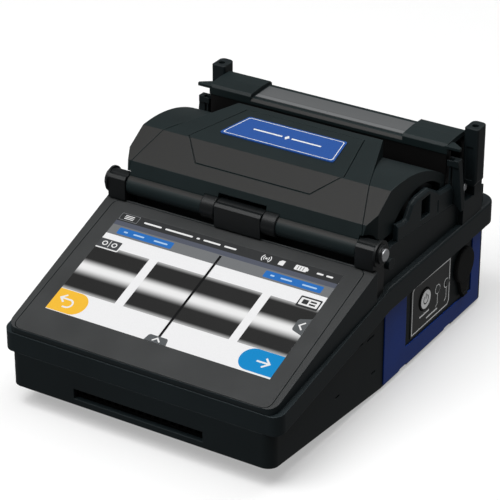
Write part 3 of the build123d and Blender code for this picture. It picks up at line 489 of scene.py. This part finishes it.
lcd.patch("split_key", rounded(box(-LCD_HALF, 39.5, -44.0, 45.8), [0, 0.8, 0.8, 0]), lit_white, 2)
lcd.patch("split_key_face", rounded(box(-LCD_HALF, 40.1, -44.6, 45.2), [0, 0.5, 0.5, 0]), lit_key, 3)
lcd.patch("split_line", box(-50.0, 40.7, -49.7, 44.6), lit_white, 4)
lcd.patch("split_mark_left", stroke(circle((-52.2, 42.7), 1.1, 12) + [(-51.1, 42.7)], 0.5), lit_white, 4)
lcd.patch("split_mark_right", stroke(circle((-47.4, 42.7), 1.1, 12) + [(-46.3, 42.7)], 0.5), lit_white, 4)
lcd.patch("view_key", rounded(box(44.4, 40.0, 54.6, 46.1), 0.5), lit_dark, 2)
lcd.patch("view_key_face", rounded(box(45.1, 41.1, 53.9, 45.2), 0.3), lit_white, 3)
lcd.patch("view_mark_wide", box(46.3, 41.9, 49.0, 44.4), lit_dark, 4)
lcd.patch("view_mark_top", box(49.8, 43.5, 52.7, 44.4), lit_dark, 4)
lcd.patch("view_mark_low", box(49.8, 41.9, 52.7, 42.8), lit_dark, 4)

lcd.patch("back_key", rounded(box(-LCD_HALF, 0.3, -38.6, 12.7), [0, 6.0, 6.0, 0], 12), lit_yellow, 2)
back_bend = [(-51.8, 7.8)] + arc((-47.4, 5.6), 2.2, 90, -90, 12) + [(-49.0, 3.4)]
lcd.patch("back_arrow", stroke(back_bend, 0.85), lit_white, 3)
lcd.patch("back_arrow_head", stroke([(-49.9, 9.9), (-52.2, 7.8), (-49.9, 5.7)], 0.85), lit_white, 4)
lcd.patch("next_key", rounded(box(37.4, 0.9, LCD_HALF, 12.9), [5.8, 0, 0, 5.8], 12), lit_cyan, 2)
lcd.patch("next_arrow", stroke([(45.2, 6.9), (50.9, 6.9)], 0.85), lit_white, 3)
lcd.patch("next_arrow_head", stroke([(48.6, 9.4), (51.3, 6.9), (48.6, 4.4)], 0.85), lit_white, 4)
lower_tab = [(-5.4, 0.0), (5.4, 0.0), (4.6, 3.6), (-4.6, 3.6)]
lcd.patch("lower_tab", rounded(lower_tab, [0, 0, 1.2, 1.2]), lit_tab, 3)
lcd.patch("lower_tab_mark", stroke([(-1.8, 0.7), (0.0, 2.5), (1.8, 0.7)], 0.7), lit_white, 4)
side_tab = [(49.9, 27.4), (LCD_HALF, 25.6), (LCD_HALF, 35.4), (49.9, 33.6)]
lcd.patch("side_tab", rounded(side_tab, [1.4, 0, 0, 1.4]), lit_tab, 2)
lcd.patch("side_tab_mark", stroke([(53.9, 32.6), (51.9, 30.5), (53.9, 28.4)], 0.7), lit_white, 3)


def plate_outline(inset):
    """The name plate's tapered outline, set in by a distance."""
    front, rear = 28.8 - inset * 1.24, 24.8 - inset * 0.81
    return rounded([(-front, inset), (front, inset), (rear, 19.2 - inset), (-rear, 19.2 - inset)], 1.1)


PLATE_SLOPE = math.atan2(1.3, 40.2)
plate_up = Vector((0.0, math.cos(PLATE_SLOPE), math.sin(PLATE_SLOPE)))
plate = Sheet(place(0.0, 109.8, 91.317), Vector((1, 0, 0)), plate_up, "hood", "name_film")
plate.band("plate_border", plate_outline(0.9), plate_outline(1.25), white_ink)
for side in (-1, 1):
    fibre = sorted((side * 2.4, side * 17.0))
    side_name = "left" if side < 0 else "right"
    plate.patch("plate_fibre_" + side_name, box(fibre[0], 9.2, fibre[1], 10.2), white_ink)
plate.patch("plate_spark", [(0.0, 7.9), (1.2, 9.7), (0.0, 11.5), (-1.2, 9.7)], white_ink)

label = Sheet(place(65.1, 0.0, 0.0), Vector((0, 1, 0)), Vector((0, 0, 1)), "root", "label_film")
LABEL_CORNERS = [(117.3, 12.5), (151.2, 12.5), (152.7, 14.2), (152.7, 35.5), (118.9, 36.1), (117.3, 34.5)]
LABEL_INSIDE = [(117.8, 13.0), (151.0, 13.0), (152.2, 14.4), (152.2, 35.0), (119.1, 35.6), (117.8, 34.3)]
label.band("label_border", LABEL_CORNERS, LABEL_INSIDE, glowing_label_ink)
for index, (depth, height) in enumerate(((141.3, 25.1), (149.7, 24.3))):
    label.band(f"lamp_ring_{index}", circle((depth, height), 2.35), circle((depth, height), 1.97), glowing_label_ink)
    stem = [(depth, height - 2.2), (depth, height - 7.2), (depth - 1.6, height - 8.6)]
    label.patch(f"lamp_leader_{index}", stroke(stem, 0.35), glowing_label_ink)
label.patch("label_mark_power", rounded(box(124.5, 18.1, 133.5, 18.8), 0.3), glowing_label_ink)
label.patch("label_mark_lamp", rounded(box(131.0, 15.0, 141.5, 15.7), 0.3), glowing_label_ink)

button = Sheet(place(65.7, 129.0, 26.0), Vector((0, 1, 0)), Vector((0, 0, 1)), "power_button",
               "button_plastic")
button.patch("power_disc", circle((0, 0), 4.4, 40), glowing_label_ink)
button.patch("power_ring", stroke(arc((0, 0), 2.1, 125, 415, 24), 0.6), dark_ink, 2)
button.patch("power_stem", box(-0.3, 0.2, 0.3, 2.9), dark_ink, 2)

# ---- camera, light and floor -------------------------------------------------------------
AZIMUTH, ELEVATION = math.radians(31.6), math.radians(28.25)
camera_data = bpy.data.cameras.new("camera")
camera_data.sensor_width = 36.0
camera_data.lens = 170.66
camera = bpy.data.objects.new("camera", camera_data)
scene.collection.objects.link(camera)
camera.location = (0.4737, -0.7772, 0.5376)
away = Vector((-math.sin(AZIMUTH) * math.cos(ELEVATION), math.cos(AZIMUTH) * math.cos(ELEVATION),
               -math.sin(ELEVATION)))
camera.rotation_mode = "QUATERNION"
camera.rotation_quaternion = away.to_track_quat("-Z", "Y")
scene.camera = camera


def softbox(name, azimuth, elevation, distance, size, power):
    """A square area light aimed at the object's middle; azimuth 0 is in front of it."""
    data = bpy.data.lights.new(name, "AREA")
    data.size = size
    data.energy = power
    light = bpy.data.objects.new(name, data)
    scene.collection.objects.link(light)
    turn, rise = math.radians(azimuth), math.radians(elevation)
    way = Vector((math.sin(turn) * math.cos(rise), -math.cos(turn) * math.cos(rise), math.sin(rise)))
    light.location = Vector((0, 0, 0.05)) + way * distance
    light.rotation_mode = "QUATERNION"
    light.rotation_quaternion = (-way).to_track_quat("-Z", "Y")


softbox("key_light", -25, 60, 1.6, 1.1, 23.0)
softbox("rim_light", 160, 55, 1.6, 0.9, 8.0)
softbox("top_light", 20, 84, 1.5, 1.2, 10.0)

world = bpy.data.worlds.new("world")
scene.world = world
world.use_nodes = True
world.node_tree.nodes["Background"].inputs["Color"].default_value = (1.0, 1.0, 1.0, 1.0)
world.node_tree.nodes["Background"].inputs["Strength"].default_value = 0.19
scene.view_settings.view_transform = "Standard"

FLOOR_SIZE = 12.0
FLOOR_GLOW = 0.75
floor_mesh = bpy.data.meshes.new("floor")
half = FLOOR_SIZE / 2
corners = [(-half, -half, 0), (half, -half, 0), (half, half, 0), (-half, half, 0)]
floor_mesh.from_pydata(corners, [], [(0, 1, 2, 3)])
floor = bpy.data.objects.new("floor", floor_mesh)
scene.collection.objects.link(floor)
make = Build("floor_paper")
paper = make.ramp(make.noise(3.0), [(0.0, (0.49, 0.49, 0.49)), (1.0, (0.51, 0.51, 0.51))])
make.link(paper, make.shader.inputs["Base Color"])
make.link(paper, make.shader.inputs["Emission Color"])
make.shader.inputs["Emission Strength"].default_value = FLOOR_GLOW
make.shader.inputs["Roughness"].default_value = 0.7
make.shader.inputs["Specular IOR Level"].default_value = 0.1
floor_mesh.materials.append(make.material)
# The paper is seen and shaded, but bounces no light, so that the dark sides of the object stay dark.
floor.visible_diffuse = False
floor.visible_glossy = False
